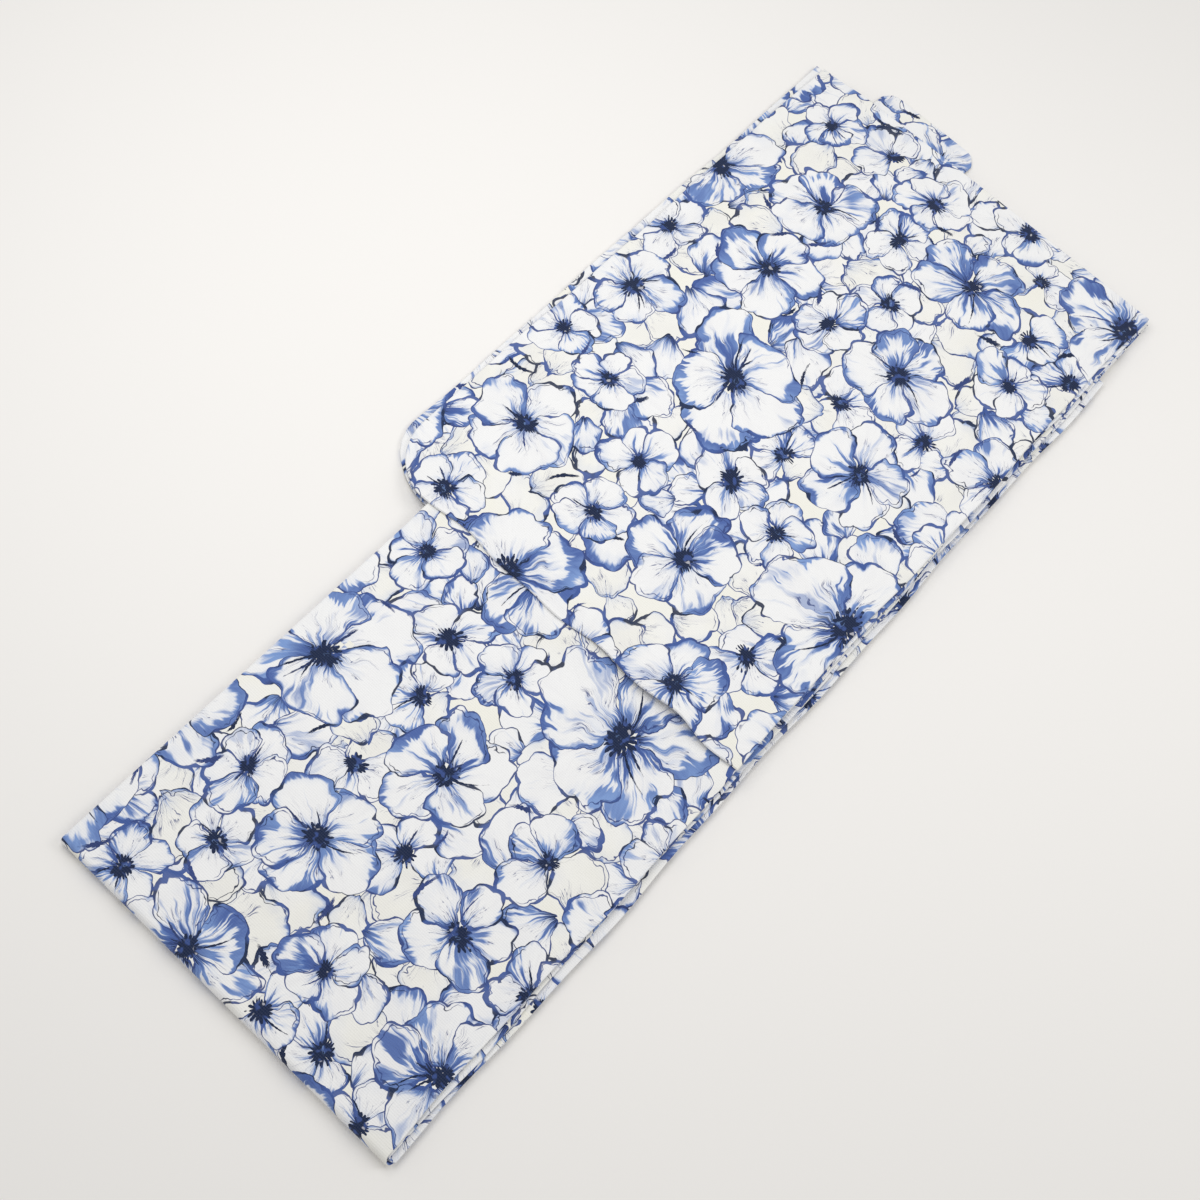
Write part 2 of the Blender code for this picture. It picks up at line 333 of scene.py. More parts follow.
class Fold:
    """Where each place on the cloth lies in the folded robe.

    x is 0 at the side seam and falls towards the centre back, y is 0 at the shoulder
    and falls towards the knee, and s runs from the shoulder round the knee to the hem.
    """

    def __init__(self, cut):
        self.cut = cut
        low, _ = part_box("right_body")
        self.shift = np.array([low.x + cut.back_width, low.y + cut.folded_length, 0.0])
        self.bend = float(self.half(0.0)) + SLIT / 2
        self.run = cut.folded_length - self.bend
        self.turn = math.pi * self.bend
        self.below = self.run + self.turn
        self.end = self.below + self.run - cut.hem_short
        self.body_flat = (cut.back_width + cut.front_width, self.end)
        self.sleeve_flat = (2 * cut.sleeve_width, cut.sleeve_length)

    def half(self, x):
        """Thickness of the upper or the lower half, from its outer face to the slit."""
        over = ease((-x - FRONT_EDGE) / FRONT_SLOPE)
        return 2 * WALL + 2 * GAP + FRONTS + (FRONTS_AT_CENTRE - FRONTS) * over

    def left_sleeve_floor(self, x, y):
        """Height of what the left sleeve lies on."""
        past_hem = ease((y + self.cut.hem_short) / HEM_SLOPE)
        past_centre = ease((-x - self.cut.back_width) / OVERHANG_SLOPE)
        return (self.half(x) + GAP) * (1.0 - past_hem) * (1.0 - past_centre)

    def upper_floor(self, x, y):
        """Height of what the upper half lies on."""
        on_sleeve = ease((y + self.cut.sleeve_length + SLEEVE_SLOPE) / (SLEEVE_SLOPE - SLEEVE_CLEAR))
        below = SLEEVE_STACK * on_sleeve + (SLIT - 2 * GAP) * (1.0 - on_sleeve)
        return self.left_sleeve_floor(x, y) + below + GAP

    def right_sleeve_floor(self, x, y):
        """Height of what the right sleeve lies on."""
        past_centre = ease((-x - self.cut.back_width) / OVERHANG_SLOPE)
        near_hem = ease(1.0 - (y + self.cut.sleeve_length) / RISE_DEPTH)
        rise = RISE * hump(x, -RISE_PLACE, RISE_SPREAD) * near_hem
        rise = rise + LIFT * hump(x, -TUCK_PLACE, TUCK_SPREAD) * hump(y, -self.cut.sleeve_length, TUCK_SPREAD)
        return self.upper_floor(x, y) + (self.half(x) + GAP) * (1.0 - past_centre) + rise

    def world(self, x, y, z):
        """Points in the frame's own coordinates."""
        points = np.stack(np.broadcast_arrays(x, y, z), axis=-1)
        return points + self.shift

    def on_body(self, x, s, depth, stray=0.0, top=None):
        """A place on the body's cloth, at a depth below the folded body's outer face."""
        radius = self.half(x) + SLIT / 2
        angle = np.clip((s - self.run) / self.bend, 0.0, math.pi)
        centre = radius - self.cut.folded_length
        y_upper = s * centre / self.run
        y_lower = centre + (s - self.run - self.turn)
        upper, lower = s <= self.run, s >= self.below
        y = np.where(upper, y_upper, np.where(lower, y_lower, centre - (radius - depth) * np.sin(angle)))
        z_upper = self.upper_floor(x, y_upper) + self.half(x) - depth
        if top is not None:
            z_upper = z_upper + top(x, y_upper) * ease((self.run - s) / BODY_EASE)
        z = np.where(upper, z_upper, np.where(lower, depth, radius + (radius - depth) * np.cos(angle)))
        turned = (1.0 - np.cos(angle)) / 2
        out = (x + self.cut.back_width) / self.cut.back_width
        return self.world(x + (LOWER_STEP * turned + stray) * out, y, z)


def places(low, high, spacing, low_roll=0.0, high_roll=0.0, steps=4):
    """Places from low to high, with how far each one has rolled in at an end, 0 to 1."""
    inner = np.linspace(low + low_roll, high - high_roll, max(2, round((high - low) / spacing)) + 1)
    rolls = np.zeros(len(inner))
    sines = np.sin(np.linspace(0.0, math.pi / 2, steps + 1)[1:])
    if low_roll:
        inner = np.concatenate([low + low_roll * (1.0 - sines[::-1]), inner])
        rolls = np.concatenate([sines[::-1], rolls])
    if high_roll:
        inner = np.concatenate([inner, high - high_roll * (1.0 - sines)])
        rolls = np.concatenate([rolls, sines])
    return inner, rolls


def sunk(radius, *rolls):
    """Depth of a rolled edge below the flat of its cloth."""
    most = np.clip(np.maximum.reduce(np.broadcast_arrays(*rolls)), 0.0, 1.0)
    return radius * (1.0 - np.sqrt(1.0 - most * most))


def cloth_object(name, grids, thickness):
    """One shell of cloth from grids of (points, cloth places, whether it faces down)."""
    verts, faces, maps, start = [], [], [], 0
    for points, cloth, down in grids:
        rows, columns = points.shape[:2]
        index = start + np.arange(rows * columns).reshape(rows, columns)
        quad = [index[:-1, :-1], index[:-1, 1:], index[1:, 1:], index[1:, :-1]]
        quads = np.stack(quad if down else quad[::-1], axis=-1).reshape(-1, 4)
        verts.append(points.reshape(-1, 3))
        faces.append(quads)
        maps.append(cloth.reshape(-1, 2)[quads.ravel() - start])
        start += rows * columns
    mesh = bpy.data.meshes.new(name)
    mesh.from_pydata(np.concatenate(verts).tolist(), [], np.concatenate(faces).tolist())
    uv = mesh.uv_layers.new(name=CLOTH_MAP)
    uv.data.foreach_set("uv", np.concatenate(maps).astype(np.float32).ravel())
    bm = bmesh.new()
    bm.from_mesh(mesh)
    bmesh.ops.remove_doubles(bm, verts=bm.verts[:], dist=WELD)
    bm.to_mesh(mesh)
    bm.free()
    piece = bpy.data.objects.new(name, mesh)
    bpy.context.scene.collection.objects.link(piece)
    wall = piece.modifiers.new("wall", "SOLIDIFY")
    wall.thickness = thickness
    wall.offset = -1.0
    graph = bpy.context.evaluated_depsgraph_get()
    made = bpy.data.meshes.new_from_object(piece.evaluated_get(graph))
    piece.modifiers.clear()
    piece.data = made
    bpy.data.meshes.remove(mesh)
    made.name = name
    made.shade_smooth()
    made.set_sharp_from_angle(angle=SHARP)
    return piece


class FlowerPrint:
    """Petals, hearts, threads and ink marks set out on one repeat of the bolt."""

    PETAL, HEART, INK = 0.0, 1.0, 2.0

    def __init__(self, seed):
        self.random = random.Random(seed)
        self.marks, self.spots = [], []
        for count, reach, *sort in FLOWERS:
            for _ in range(count):
                self.flower(*self.free_spot(reach), reach, *sort)
        self.fill_gaps()
        petals = [m for m in self.marks if m["kind"] == self.PETAL]
        for m in self.random.sample(petals, INK_MARKS):
            self.comma(m)
        self.marks.sort(key=lambda m: -m["level"])

    def fill_gaps(self):
        """Lay loose petals below the flowers until little of the ground is bare."""
        pick = self.random.uniform
        across, along = (np.arange(0.0, size, BARE_GRID) for size in REPEAT)
        grid = np.stack(np.meshgrid(across, along), axis=-1).reshape(-1, 2)
        bare = np.ones(len(grid), bool)
        for m in self.marks:
            bare &= self.edge(m, self.away(m, grid)[0])[0] > COVERED
        while bare.mean() > BARE_SHARE:
            x, y = grid[self.random.choice(np.flatnonzero(bare).tolist())]
            reach, turn = pick(*LOOSE["reach"]), pick(0.0, math.tau)
            x, y = x - 0.55 * reach * math.cos(turn), y - 0.55 * reach * math.sin(turn)
            tone = self.random.choice(LOOSE["tones"])
            self.mark(self.PETAL, x, y, turn, reach, reach * pick(*LOOSE["width"]), tone, pick(0, 1))
            bare &= self.edge(self.marks[-1], self.away(self.marks[-1], grid)[0])[0] > COVERED

    def free_spot(self, reach):
        """The emptiest of many tried places, on a bolt that repeats."""
        best, most = None, -math.inf
        for _ in range(TRIES):
            x, y = (self.random.uniform(0, size) for size in REPEAT)
            room = math.inf
            for sx, sy, other in self.spots:
                dx, dy = abs(x - sx), abs(y - sy)
                dx, dy = min(dx, REPEAT[0] - dx), min(dy, REPEAT[1] - dy)
                room = min(room, math.hypot(dx, dy) - CLOSENESS * (reach + other))
            if room > most:
                best, most = (x, y), room
        self.spots.append((*best, reach))
        return best

    def mark(self, kind, x, y, turn, length, width, tone, level):
        self.marks.append(
            {
                "kind": kind, "at": np.array((x, y)), "turn": turn, "length": length, "width": width,
                "tone": tone, "seed": self.random.uniform(0.0, 1.0), "level": level,
            }
        )

    def flower(self, x, y, reach, petals, blue, threads, level):
        """Petals round a heart, with fine dark threads between them."""
        pick = self.random.uniform
        reach = reach * pick(*VARY["reach"])
        level = level + pick(*VARY["level"])
        start, step = pick(0.0, math.tau), math.tau / 5
        lean, flat = pick(0.0, math.pi), pick(*VARY["flatness"])
        order = list(range(petals))
        self.random.shuffle(order)
        for place, i in enumerate(order):
            turn = start + i * step + pick(*VARY["turn"])
            squash = 1.0 - (1.0 - flat) * math.cos(turn - lean) ** 2
            length = reach * squash * pick(*VARY["length"])
            width = reach * pick(*VARY["width"])
            tone = min(1.0, max(0.0, blue + pick(*VARY["tone"])))
            self.mark(self.PETAL, x, y, turn, length, width, tone, level + 0.01 * place)
        for _ in range(threads):
            way = start + pick(-0.2, step * petals)
            long = reach * pick(*VARY["thread"])
            wide = THREAD_WIDTH["least"] + THREAD_WIDTH["share"] * reach
            self.mark(self.INK, x, y, way, long, wide, 0.0, level + 0.1)
        heart = (HEART["least"] + HEART["share"] * reach) * pick(*VARY["heart"])
        turn = pick(0.0, math.tau)
        back = MIDDLE * heart / HALF
        x, y = x - back * math.cos(turn), y - back * math.sin(turn)
        self.mark(self.HEART, x, y, turn, heart / HALF, heart * pick(*VARY["heart_width"]), 1.0, level + 0.2)

    def comma(self, m):
        """A dark stroke along the edge of a petal."""
        pick = self.random.uniform
        way, reach = pick(*COMMA["way"]), pick(*COMMA["reach"])
        across = m["width"] * (math.sin(way) + (m["seed"] - 0.5) * BEND * m["length"] / m["width"])
        spot = complex(m["length"] * (MIDDLE + 0.45 * math.cos(way)), across)
        turned = complex(math.cos(m["turn"]), math.sin(m["turn"]))
        heading = complex(-0.45 * m["length"] * math.sin(way), m["width"] * math.cos(way))
        heading = heading * turned / abs(heading)
        spot = spot * turned - heading * reach / 2
        turn = math.atan2(heading.imag, heading.real)
        width = reach * pick(*COMMA["width"])
        place = m["at"] + np.array((spot.real, spot.imag))
        self.mark(self.INK, *place, turn, reach, width, 1.0, m["level"] + 0.005)

    def away(self, m, points):
        """The way from a mark's nearest copy to each point, and that copy's shift."""
        way = points - m["at"]
        shift = np.round(way / REPEAT) * REPEAT
        return way - shift, shift

    def local(self, m, away):
        """Places along and across a mark, as shares of its length and width, and bent with it."""
        cos, sin = math.cos(m["turn"]), math.sin(m["turn"])
        u = (away[:, 0] * cos + away[:, 1] * sin) / m["length"]
        v = away[:, 1] * cos - away[:, 0] * sin
        bend = (m["seed"] - 0.5) * BEND * (INK_BEND if m["kind"] == self.INK else 1.0)
        v = v - bend * np.clip(u, -0.2, 1.3) ** 2 * m["length"]
        return (u - MIDDLE) / HALF, v / m["width"]

    def edge(self, m, away):
        """1 on a mark's edge and less inside, with the mark's smaller half width there."""
        p, q = self.local(m, away)
        narrow = np.clip(NECK + WIDEN * (MIDDLE + HALF * p), NECK, 1.0)
        return np.hypot(p, q / narrow), np.minimum(m["width"] * narrow, HALF * m["length"])

    def lay(self, mesh):
        """Give each face the marks that cross it, the topmost first."""
        loops, count = len(mesh.loops), len(mesh.polygons)
        uv = np.empty(loops * 2, np.float32)
        mesh.uv_layers[CLOTH_MAP].data.foreach_get("uv", uv)
        uv = uv.reshape(-1, 2).astype(float)
        total = np.empty(count, np.int32)
        mesh.polygons.foreach_get("loop_total", total)
        face_of = np.repeat(np.arange(count), total)
        middle = np.stack([np.bincount(face_of, uv[:, k], count) / total for k in (0, 1)], axis=1)
        reach = np.zeros(count)
        np.maximum.at(reach, face_of, np.hypot(*(uv - middle[face_of]).T))
        place = np.full((MOST_MARKS, loops, 3), FAR, np.float32)
        form = np.zeros((MOST_MARKS, count, 3), np.float32)
        used = np.zeros(count, np.int32)
        left = np.ones(count, bool)
        for m in self.marks:
            away, shift = self.away(m, middle)
            edge, small = self.edge(m, away)
            spread = reach + STRAY * 0.4 * m["width"] + 0.0006
            touched = left & ((edge - 1.0) * 0.7 * small < spread)
            touched &= np.hypot(*away.T) < m["length"] * 1.25 + m["width"] + spread
            full = touched & (used >= MOST_MARKS)
            left &= ~full
            touched &= ~full
            faces = np.flatnonzero(touched)
            form[used[faces], faces] = (m["length"], m["width"], m["tone"])
            mine = np.flatnonzero(touched[face_of])
            owner = face_of[mine]
            p, q = self.local(m, uv[mine] - m["at"] - shift[owner])
            code = np.full(len(mine), m["kind"] + 0.999 * m["seed"])
            place[used[owner], mine] = np.stack([p, q, code], axis=1)
            used[faces] += 1
            if m["kind"] == self.PETAL:
                left &= ~(touched & ((1.0 - SCALLOP - edge) * 0.95 * small > spread))
        for k in range(MOST_MARKS):
            a = mesh.attributes.new(f"petal_{k}", "FLOAT_VECTOR", "CORNER")
            a.data.foreach_set("vector", place[k].ravel())
            b = mesh.attributes.new(f"form_{k}", "FLOAT_VECTOR", "FACE")
            b.data.foreach_set("vector", form[k].ravel())


class Value:
    """A socket of numbers. Sums with it add their own Math nodes."""

    def __init__(self, nodes, socket):
        self.nodes, self.socket = nodes, socket

    def math(self, operation, *others):
        return self.nodes.math(operation, self, *others)

    def __add__(self, other):
        return self.math("ADD", other)

    def __sub__(self, other):
        return self.math("SUBTRACT", other)

    def __mul__(self, other):
        return self.math("MULTIPLY", other)

    def __truediv__(self, other):
        return self.math("DIVIDE", other)

    def __rsub__(self, other):
        return self.nodes.math("SUBTRACT", other, self)

    def __rtruediv__(self, other):
        return self.nodes.math("DIVIDE", other, self)

    __radd__ = __add__
    __rmul__ = __mul__

    def clamp(self):
        """This number held between 0 and 1."""
        return self.nodes.math("ADD", self, 0.0, clamp=True)

    def above(self, level, gain):
        """0 up to a level, and more above it, up to 1."""
        return ((self - level) * gain).clamp()

    def below(self, level, gain):
        """0 from a level on, and more below it, up to 1."""
        return ((level - self) * gain).clamp()


class Nodes:
    """Adds nodes to one material."""

    def __init__(self, tree):
        self.tree = tree

    def node(self, kind, settings=None, inputs=None):
        made = self.tree.nodes.new(kind)
        for name, value in (settings or {}).items():
            setattr(made, name, value)
        for key, value in (inputs or {}).items():
            self.feed(made.inputs[key], value)
        return made

    def feed(self, socket, value):
        if isinstance(value, Value):
            value = value.socket
        if isinstance(value, bpy.types.NodeSocket):
            self.tree.links.new(value, socket)
        else:
            socket.default_value = value

    def math(self, operation, *values, clamp=False):
        settings = {"operation": operation, "use_clamp": clamp}
        made = self.node("ShaderNodeMath", settings, dict(enumerate(values)))
        return Value(self, made.outputs[0])

    def parts(self, vector):
        """A vector's three numbers."""
        made = self.node("ShaderNodeSeparateXYZ", None, {0: vector})
        return [Value(self, o) for o in made.outputs]

    def vector(self, *numbers):
        return self.node("ShaderNodeCombineXYZ", None, dict(enumerate(numbers))).outputs[0]

    def sum(self, first, second):
        """Two vectors added."""
        return self.node("ShaderNodeVectorMath", {"operation": "ADD"}, {0: first, 1: second}).outputs[0]

    def attribute(self, name):
        """A vector that the mesh carries."""
        return self.node("ShaderNodeAttribute", {"attribute_name": name}).outputs["Vector"]

    def distance(self, x, y):
        """How far a place is from 0."""
        return (x * x + y * y).math("SQRT")

    def noise(self, vector, scale, detail=1.0):
        """Three channels of noise on a plane, each about 0.5."""
        settings = {"noise_dimensions": "2D"}
        inputs = {"Vector": vector, "Scale": scale, "Detail": detail, "Roughness": 0.5}
        return self.parts(self.node("ShaderNodeTexNoise", settings, inputs).outputs["Color"])

    def pick(self, share, first, second):
        """Second where share is 1, for vectors."""
        made = self.node("ShaderNodeMix", {"data_type": "VECTOR"}, {0: share, 4: first, 5: second})
        return made.outputs[1]

    def pick_number(self, share, first, second):
        """Second where share is 1, for numbers."""
        made = self.node("ShaderNodeMix", {"data_type": "FLOAT"}, {0: share, 2: first, 3: second})
        return Value(self, made.outputs[0])

    def blend(self, share, first, second):
        """Second where share is 1, for colours."""
        made = self.node("ShaderNodeMix", {"data_type": "RGBA"}, {0: share, 6: first, 7: second})
        return made.outputs[2]


def mixed(share, first, second):
    """Second where share is 1, for colours that are the same all over."""
    return tuple(a + (b - a) * share for a, b in zip(first, second))


def top_mark(n, slow, fast):
    """The topmost mark at a place: the place on it, its sizes, and 1 at its edge or less inside."""
    stray = [(slow[k] - 0.5) * STRAY + (fast[k] - 0.5) * FINE_STRAY for k in (0, 1)]
    stray = n.vector(*stray, 0.0)
    ragged = (fast[2] - 0.5) * 0.9
    widening = {"From Min": WIDEN_FROM, "From Max": WIDEN_TO, "To Min": NECK, "To Max": 1.0}
    place, form, edge = (0.0, 0.0, -1.0), (0.01, 0.01, 0.0), 1.0
    for k in reversed(range(MOST_MARKS)):
        here = n.sum(n.attribute(f"petal_{k}"), stray)
        p, q, code = n.parts(here)
        narrow = Value(n, n.node("ShaderNodeMapRange", None, {"Value": p, **widening}).outputs[0])
        flat = q / narrow
        spiky = code.math("GREATER_THAN", FlowerPrint.HEART)
        lobes = flat.math("ARCTAN2", p).math("MULTIPLY_ADD", spiky.math("MULTIPLY_ADD", 4.7, 3.3), code * 6.3)
        scallop = 1.0 - lobes.math("SINE").math("ABSOLUTE")
        scallop = scallop.math("MULTIPLY_ADD", spiky.math("MULTIPLY_ADD", 0.28, SCALLOP), spiky * ragged)
        span = n.node("ShaderNodeVectorMath", {"operation": "LENGTH"}, {0: n.vector(p, flat, 0.0)})
        reach = scallop + span.outputs["Value"]
        inside = reach.math("LESS_THAN", 1.0)
        place = n.pick(inside, place, here)
        form = n.pick(inside, form, n.attribute(f"form_{k}"))
        edge = n.pick_number(inside, edge, reach)
    return place, form, edge


def petal_ground(n, inks, at, patch, wide, tongue):
    """A petal before its washes: white or cream, with grey streaks and a blue haze at its rim."""
    streaks = ((at.ray[1] - 0.44) * 1.2 + (at.fine[1] - 0.5) * 0.6).clamp() * 0.38
    water = ((at.blot[1] - 0.46) * 3.0 + (at.slow[0] - 0.5) * 1.2).clamp() * 0.22
    cream = at.tone.below(0.05, 60.0) * (at.blot[1] * 1.6).clamp() * 0.8
    ground = n.blend(streaks.math("MAXIMUM", water), n.blend(cream, inks.ground, inks.gap), inks.shade)
    haze = patch * ((wide - at.inner) / HAZE_FADE + 0.55).clamp()
    halo = at.r.below(tongue + 0.22, 3.0)
    return n.blend(haze.math("MAXIMUM", halo) * 0.30, ground, inks.pale)


def outline(n, inks, at):
    """A petal's pen line, at times with a second line beside it, and their colour."""
    pen = at.slow[2].above(0.44, 4.0) * PEN["more"] + PEN["thin"]
    line = ((pen - at.inner) / PEN["fade"] + 0.5).clamp()
    second = (at.inner - ((at.fast[2] - 0.3) * SECOND_PEN["stray"] + SECOND_PEN["in"])).math("ABSOLUTE")
    second = ((SECOND_PEN["half"] - second) / SECOND_PEN["fade"]).clamp() * at.blot[1].above(0.47, 14.0)
    dark = n.blend(at.slow[2].above(0.54, 9.0) * 0.7, inks.ink, inks.wash)
    dark = n.blend(((at.slow[0] - 0.550) * 12.0 + (at.fast[0] - 0.5) * 1.5).clamp(), dark, inks.navy)
    return line.math("MAXIMUM", second) * 0.95, dark


def petal_paint(n, inks, at):
    """A petal: its ground, the wash pooled at its rim, its veins, its deep throat and its outline."""
    ray, fine, blot, r, tone = at.ray, at.fine, at.blot, at.r, at.tone
    tongue = 0.17 + tone * (ray[0].above(0.42, 2.8) * 0.55 + 0.05) + (fine[0] - 0.5) * 0.34
    patch = blot[0].above(0.42, 4.5)
    margin = (tone * 0.75 + 0.25) * patch * (0.50 + (fine[0] - 0.5) * (at.seed * 1.5 + 0.3))
    wide = margin * at.width
    rim = ((wide - at.inner) / RIM_FADE + 0.25).clamp()
    dab = (ray[2] * 0.55 + blot[1] * 0.75 + (fine[2] - 0.5) * 0.25).above(0.77, 8.0) * tone
    pool = rim.math("MAXIMUM", dab)
    thin = ((blot[2] - 0.39) * 2.4 + (fine[0] - 0.5) * 0.8).clamp() * 0.9
    washed = n.blend(thin, inks.wash, inks.pale)
    ground = petal_ground(n, inks, at, patch, wide, tongue)
    paint = n.blend((pool * 1.6).clamp() * 0.97, ground, n.blend(pool, inks.pale, washed))
    vein = (fine[2] - 0.5).math("ABSOLUTE").below(0.026, 80.0) * r.below(0.25 + ray[1] * 0.66, 12.0)
    vein = vein * ray[2].above(0.42, 8.0)
    paint = n.blend(vein * 0.85, paint, inks.ink)
    throat = r.below(tongue + 0.03, 5.0)
    deepest = mixed(0.6, inks.wash, inks.ink)
    flow = n.blend(throat, inks.pale, n.blend(r.below(0.42, 3.2), washed, deepest))
    paint = n.blend((throat * 1.5).clamp() * 0.98, paint, flow)
    core = r.below((fine[1] - 0.5) * 0.48 + 0.180, 18.0)
    paint = n.blend(core * (tone * 1.8).clamp(), paint, inks.navy)
    line, dark = outline(n, inks, at)
    return n.blend(line, paint, dark)


def heart_paint(n, inks, at):
    """A heart: navy with specks of wash and pollen, and in some a faint pale loop."""
    fast, seed = at.fast, at.seed
    speck = mixed(0.5, inks.wash, inks.ink)
    eye = n.blend(fast[1].above(0.57, 9.0) * 0.8, inks.navy, speck)
    eye = n.blend(fast[0].above(0.74, 22.0) * 0.6, eye, inks.shade)
    wobble = [(fast[k] - 0.5) * 0.9 for k in (0, 2)]
    loop = n.distance(at.p + wobble[0], (at.q - (seed - 0.5) * 0.5) * (seed + 0.8) + wobble[1])
    loop = (loop - 0.19).math("ABSOLUTE").below(0.055, 18.0) * seed.above(0.55, 20.0)
    return n.blend(loop * fast[1].above(0.38, 6.0) * 0.7, eye, inks.pale)


def ribbed_weave(n, cloth):
    """Height of the ribs and threads of the weave, about 0."""
    across, along, _ = n.parts(cloth)
    slub = n.noise(cloth, SLUB_NOISE, 2.0)
    rib = (along * (math.tau / RIB) + slub[0] * SLUB_SWAY).math("SINE")
    thread = (across * (math.tau / THREAD) + slub[1] * SLUB_SWAY).math("SINE")
    return rib * 0.5 + thread * 0.35 + (slub[2] - 0.5) * 1.2


def printed_cotton(colors):
    """White cotton with the flower print and its fine ribbed weave."""
    material = bpy.data.materials.new(SLOT)
    material.use_nodes = True
    n = Nodes(material.node_tree)
    n.tree.nodes.clear()
    inks = SimpleNamespace(**{name: (*getattr(colors, name), 1.0) for name in PrintColors.__annotations__})
    cloth = n.node("ShaderNodeUVMap", {"uv_map": CLOTH_MAP}).outputs[0]
    slow = n.noise(cloth, SLOW_NOISE)
    fast = n.noise(cloth, FAST_NOISE)
    place, form, edge = top_mark(n, slow, fast)
    p, q, code = n.parts(place)
    length, width, tone = n.parts(form)
    seed = code.math("FRACT")
    u = (p * HALF + MIDDLE) * length
    v = q * width
    r = n.distance(u, v) / length
    angle = v.math("ARCTAN2", u)
    ray = n.noise(n.vector(angle * 4.6 + seed * 97.0, r * 0.9 + seed * 31.0, 0.0), 1.0)
    fine = n.noise(n.vector(angle * 15.0 + seed * 53.0, r * 2.4 + seed * 11.0, 0.0), 1.0)
    blot = n.noise(n.sum(cloth, n.vector(seed, seed * 3.0, 0.0)), BLOT_NOISE)
    at = SimpleNamespace(
        p=p, q=q, r=r, inner=(1.0 - edge) * width, width=width, tone=tone, seed=seed,
        slow=slow, fast=fast, ray=ray, fine=fine, blot=blot,
    )
    stroke = n.blend((seed * 2.4 - 1.0).clamp(), inks.navy, inks.ink)
    dark_mark = n.blend(code.math("GREATER_THAN", FlowerPrint.INK), heart_paint(n, inks, at), stroke)
    paint = n.blend(code.math("GREATER_THAN", FlowerPrint.HEART), petal_paint(n, inks, at), dark_mark)
    tint = n.blend(blot[0].above(0.45, 3.0) * 0.5, inks.gap, inks.ground)
    paint = n.blend(code.math("GREATER_THAN", -0.5), tint, paint)
    weave = ribbed_weave(n, cloth)
    paint = n.blend((weave * 0.045 + 0.045).clamp(), paint, inks.thread)
    bump = n.node("ShaderNodeBump", None, {"Strength": 0.30, "Distance": 0.00025, "Height": weave})
    looks = {
        "Base Color": paint, "Roughness": 0.88, "Normal": bump.outputs[0],
        "Specular IOR Level": 0.20, "Sheen Weight": 0.12, "Sheen Roughness": 0.5,
    }
    shader = n.node("ShaderNodeBsdfPrincipled", None, looks)
    n.node("ShaderNodeOutputMaterial", None, {"Surface": shader.outputs[0]})
    return material


MADE = {}


def printed(context):
    """The material and the print, made once."""
    if not MADE:
        MADE["cotton"] = printed_cotton(context.scene.yukata_colors)
        MADE["print"] = FlowerPrint(PRINT_SEED)
    return MADE["cotton"], MADE["print"]


def dress(context, name, grids, solid, flat):
    """Make a shell of cloth, print it, attach it to the body it rides on, and hide the solid it stands for.
    """
    piece = cloth_object(name, grids, context.scene.yukata_cut.thickness)
    cotton, flowers = printed(context)
    piece.data.materials.append(cotton)
    flowers.lay(piece.data)
    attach(piece, BODY)
    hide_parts(solid)


def cloth_places(x, s, start):
    """Places on the bolt for a grid, with its own start on the print."""
    across, along = np.broadcast_arrays(x, s)
    return np.stack([across + start[0], along + start[1]], axis=-1)


def shifted(start, shift):
    return start[0] + shift[0], start[1] + shift[1]


def body_grids(fold, inside, side, phase, start, spacing):
    """The back and the front of one side of the robe, folded together at the side seam.

    An inside body faces the slit between the two halves of the fold.
    """
    cut = fold.cut
    roll = cut.roll
    seam = float(fold.half(-cut.back_width)) / 2
    front = -cut.front_width
    xs_a, rolls_a = places(-cut.back_width, front, spacing, low_roll=seam * 0.98)
    xs_b, rolls_b = places(front, side, spacing, high_roll=roll)
    xs = np.concatenate([xs_a, xs_b[1:]])
    rolls_seam = np.concatenate([rolls_a, np.zeros(len(xs_b) - 1)])
    rolls_side = np.concatenate([np.zeros(len(xs_a)), rolls_b[1:]])
    upper, rolls_up = places(0.0, fold.run, spacing, low_roll=roll)
    knee = np.linspace(fold.run, fold.below, BEND_STEPS)[1:-1]
    lower = np.linspace(fold.below, fold.end, round((fold.end - fold.run) / spacing))
    s = np.concatenate([upper, knee, lower])
    rolls_s = np.concatenate([rolls_up, np.zeros(len(s) - len(upper))])
    x, s = xs[None, :], s[:, None]
    stray = wander(EDGE_WAVES, s, phase)

    def top(x, y):
        inner = ease(-x / BODY_EASE) * ease((x + cut.back_width) / BODY_EASE) * ease(-y / BODY_EASE)
        return (creases("body", x, y) + drift(x, y, phase)) * inner

    def grid(columns, deep, bumps):
        depth = deep[:, columns]
        xx = x[:, columns]
        if inside:
            depth = fold.half(xx) - depth
        return fold.on_body(xx, s, depth, stray, bumps)

    edge = sunk(roll, rolls_side[None, :], rolls_s[:, None])
    back_depth = np.maximum(edge, sunk(seam, rolls_seam[None, :]))
    front_columns = slice(len(xs_a) - 1, None)
    back = grid(slice(None), back_depth, None if inside else top)
    face = grid(front_columns, 2 * roll - edge, None)
    return [
        (back, cloth_places(x, s, start), inside),
        (face, cloth_places(x[:, front_columns], s, shifted(start, FRONT_FROM_BACK)), not inside),
    ]


class Piece:
    """An operator that lays its cloth by the panel's sizes."""

    def execute(self, context):
        cut = context.scene.yukata_cut
        self.lay(context, cut, Fold(cut))
        return {"FINISHED"}


class YUKATA_OT_right_body(Piece, bpy.types.Operator):
    """Right body: the back that shows on top and below, and its front inside"""

    bl_idname = "yukata.right_body"
    bl_label = "Right Body"

    def lay(self, context, cut, fold):
        grids = body_grids(fold, False, 0.0, 0.4, STARTS["right_body"], BODY_SPACING)
        dress(context, "right_body_cloth", grids, "right_body", fold.body_flat)


